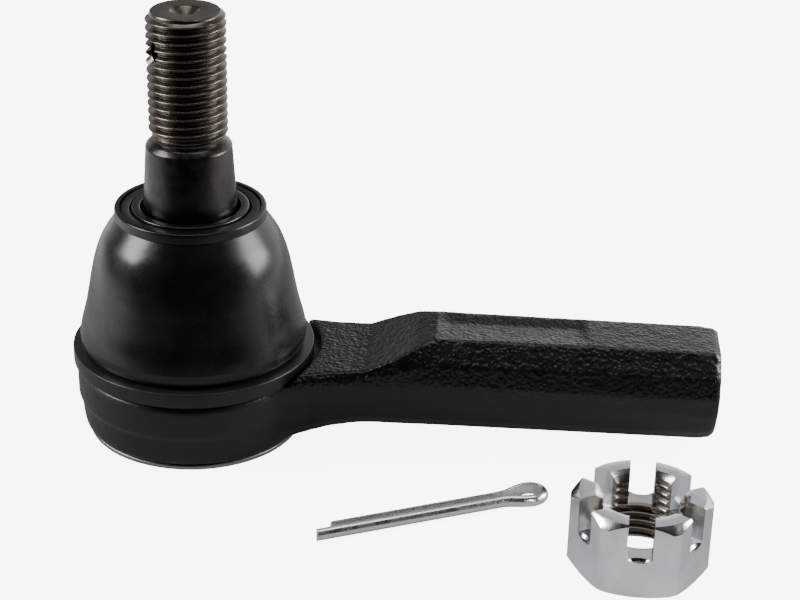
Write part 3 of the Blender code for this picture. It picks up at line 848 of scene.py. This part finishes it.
def finish_inner_nodes():
    """Pieces shut inside the socket keep their CAD shape and take real finishes."""
    looks = {
        "upper_ball_seat": resin_material("upper_seat_resin", (0.72, 0.70, 0.63)),
        "lower_ball_seat": resin_material("lower_seat_resin", (0.66, 0.65, 0.60)),
        "preload_disc_spring": plain_metal("spring_steel", (0.30, 0.29, 0.28), 0.32, 0.46),
    }
    for node, look in looks.items():
        ob = frame["nodes"][node]
        ob.data.materials.clear()
        ob.data.materials.append(look)


# ------------------------------------------------------------------ stage, light and camera
FLOOR_SIZE = 6.0
CARD_SIZE = 0.34
FLOOR_WHITE = 7.0        # how bright the floor is to look at
CARD_GLOW = 0.13         # how bright the floor is in reflections, as in a darkened studio
CARD_SIDES = 1.05        # and how much brighter at the left and right
NUT_PATCH = (0.075, -0.075, 0.0)
NUT_GLOW = 0.22          # a small pale card in front of the nut
BACK_GLOW = 1.0          # the pale sweep behind the object
# a dark flag at the back left: X directions between which it fades, share of the sweep seen at each
FLAG_LEFT = (-0.60, -0.38, 1.0, 0.30)
FLAG_RIGHT = (-0.22, 0.02, 0.0, 1.5)
SKY_SHARE = 0.35         # how much of that is left higher up
FRONT_GLOW = 0.03        # the dark room in front of it


def flat_square(name, half, drop, mat):
    me = bpy.data.meshes.new(name)
    square = [(-half, -half, 0), (half, -half, 0), (half, half, 0), (-half, half, 0)]
    me.from_pydata(square, [], [[0, 1, 2, 3]])
    ob = bpy.data.objects.new(name, me)
    bpy.context.scene.collection.objects.link(ob)
    ob.data.materials.append(mat)
    ob.location.z = drop
    return ob


def make_floor():
    """A white floor to look at, and a dimmer card under it that the object reflects."""
    n = Nodes("floor_paper", (0.8, 0.8, 0.8), 0.9, 0.0, 0.1)
    n.bsdf.inputs["Emission Color"].default_value = (1.0, 1.0, 1.0, 1.0)
    n.bsdf.inputs["Emission Strength"].default_value = FLOOR_WHITE
    floor = flat_square("floor", FLOOR_SIZE, -0.02 * MM, n.mat)
    floor.visible_shadow = False
    floor.visible_diffuse = False
    floor.visible_glossy = False
    floor.visible_transmission = False
    n = Nodes("card_paper", (0.25, 0.25, 0.25), 0.9, 0.0, 0.1)
    fade = n.remap(n.axis("Y"), -0.16, -0.06)
    off = n.math("ABSOLUTE", n.math("SUBTRACT", n.axis("X"), 0.03))
    side = n.remap(off, 0.09, 0.17, CARD_GLOW, CARD_GLOW + CARD_SIDES)
    patch = n.remap(n.distance_from(Vector(NUT_PATCH)), 0.02, 0.06, NUT_GLOW, 0.0)
    n.bsdf.inputs["Emission Color"].default_value = (1.0, 1.0, 1.0, 1.0)
    n.set("Emission Strength", n.math("ADD", patch, n.math("MULTIPLY", side, fade)))
    n.set("Base Color", n.mix(fade, (0.02, 0.02, 0.02), (0.25, 0.25, 0.25)))
    card = flat_square("floor_card", CARD_SIZE, -0.6 * MM, n.mat)
    card.visible_camera = False


LIGHTS = [
    # name, place, aim, width, height, power
    ("left_box", (-0.50, -0.10, 0.37), (-0.005, 0.0, 0.04), 0.26, 0.36, 4.6),
    ("right_box", (0.57, 0.09, 0.24), (0.01, 0.0, 0.04), 0.30, 0.30, 4.4),
    ("top_box", (0.04, -0.02, 0.75), (0.04, 0.0, 0.0), 0.7, 0.22, 1.5),
]


def join(tree, operation, first, second):
    node = tree.nodes.new("ShaderNodeMath")
    node.operation = operation
    tree.links.new(first, node.inputs[0])
    tree.links.new(second, node.inputs[1])
    return node.outputs["Value"]


def make_light():
    for name, place_at, aim, width, height, power in LIGHTS:
        data = bpy.data.lights.new(name, "AREA")
        data.shape = "RECTANGLE"
        data.size = width
        data.size_y = height
        data.energy = power
        ob = bpy.data.objects.new(name, data)
        bpy.context.scene.collection.objects.link(ob)
        ob.location = place_at
        ob.rotation_euler = (Vector(aim) - Vector(place_at)).to_track_quat("-Z", "Y").to_euler()
    world = bpy.data.worlds.new("studio")
    bpy.context.scene.world = world
    world.use_nodes = True
    tree = world.node_tree
    split = tree.nodes.new("ShaderNodeSeparateXYZ")
    tree.links.new(tree.nodes.new("ShaderNodeTexCoord").outputs["Generated"], split.inputs["Vector"])
    parts = []
    fades = [("Y", 0.15, 0.80, FRONT_GLOW, BACK_GLOW), ("Z", 0.28, 0.50, 1.0, SKY_SHARE)]
    fades += [("X",) + FLAG_LEFT, ("X",) + FLAG_RIGHT]
    for axis, start, end, low, high in fades:
        fade = tree.nodes.new("ShaderNodeMapRange")
        fade.interpolation_type = "SMOOTHSTEP"
        fade.inputs["From Min"].default_value = start
        fade.inputs["From Max"].default_value = end
        fade.inputs["To Min"].default_value = low
        fade.inputs["To Max"].default_value = high
        tree.links.new(split.outputs[axis], fade.inputs["Value"])
        parts.append(fade.outputs["Result"])
    flag = join(tree, "MAXIMUM", parts[2], parts[3])
    back = join(tree, "MULTIPLY", parts[0], parts[1])
    tree.links.new(join(tree, "MULTIPLY", back, flag), tree.nodes["Background"].inputs["Strength"])
    tree.nodes["Background"].inputs["Color"].default_value = (1.0, 1.0, 1.0, 1.0)


CAMERA_PLACE = (56.7 * MM, -322.4 * MM, 184.7 * MM)
CAMERA_DOWN = math.radians(26.14)
CAMERA_YAW = math.radians(3.4)
CAMERA_ROLL = math.radians(1.31)
CAMERA_LENS = 90.0


def make_camera():
    data = bpy.data.cameras.new("camera")
    data.lens = CAMERA_LENS
    data.sensor_width = 36.0
    data.clip_start = 0.01
    data.clip_end = 20.0
    cam = bpy.data.objects.new("camera", data)
    bpy.context.scene.collection.objects.link(cam)
    turn = Matrix.Rotation(CAMERA_YAW, 4, "Z") @ Matrix.Rotation(math.pi / 2 - CAMERA_DOWN, 4, "X")
    cam.matrix_world = Matrix.Translation(CAMERA_PLACE) @ turn @ Matrix.Rotation(CAMERA_ROLL, 4, "Z")
    bpy.context.scene.camera = cam


make_housing()
make_stud()
make_boot()
make_rings_and_cap()
make_nut()
make_pin()
finish_inner_nodes()
make_floor()
make_light()
make_camera()
